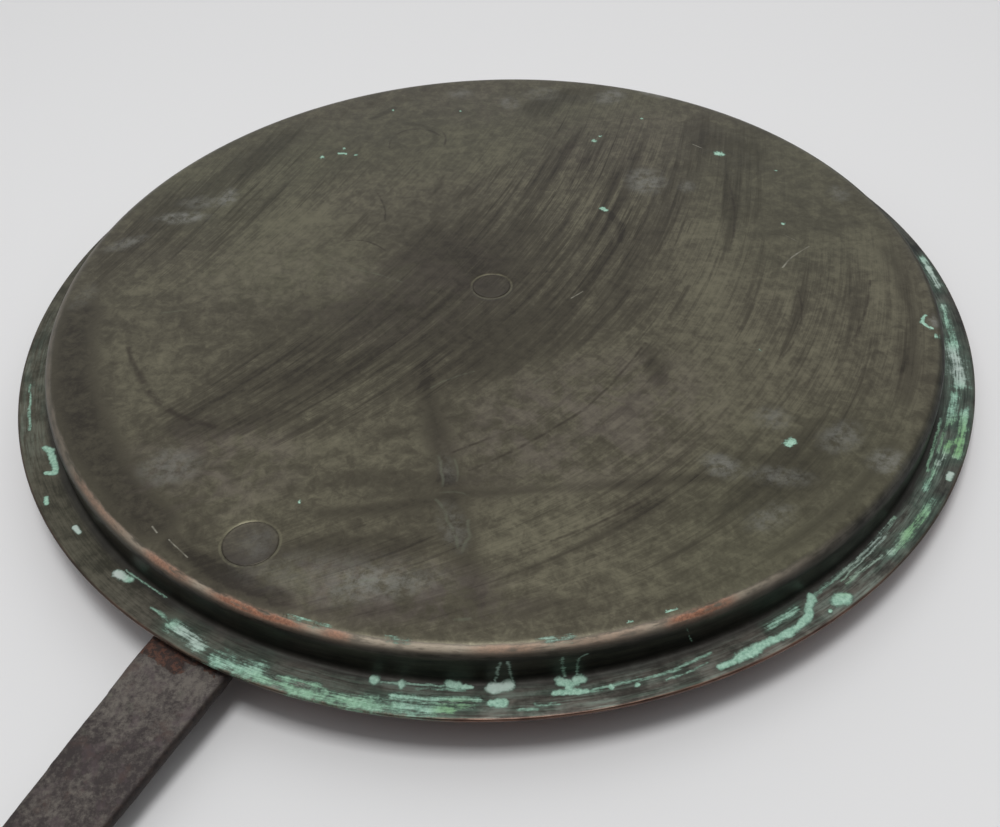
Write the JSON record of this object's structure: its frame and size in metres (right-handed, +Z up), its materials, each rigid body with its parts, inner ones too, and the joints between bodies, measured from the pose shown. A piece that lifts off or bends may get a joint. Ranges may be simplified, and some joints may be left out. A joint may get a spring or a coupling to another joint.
{
  "type": "saucepan lid",
  "caption": "Round copper saucepan lid lying upside down: raised plug that drops into the pan, flat flange, riveted iron strap handle with a hanging eye.",
  "frame": {"origin": "centre of the footprint on the table, as the lid lies upside down on its far rim and on the end of its handle", "axes": "+Z up from the table, +X along the handle from the lid to the hanging eye; the lid's own axis leans 2.86 degrees from +Z towards -X"},
  "size_m": [0.5767, 0.384, 0.0351],
  "materials": {
    "tinned_copper": null,
    "wrought_iron": "dark brown-grey hammered iron with rust",
    "rivet_copper": null
  },
  "bodies": {
    "root": {"lid_sheet": "tinned_copper", "strap_handle": "wrought_iron", "centre_rivet": "rivet_copper", "edge_rivet": "rivet_copper"}
  },
  "joints": []
}
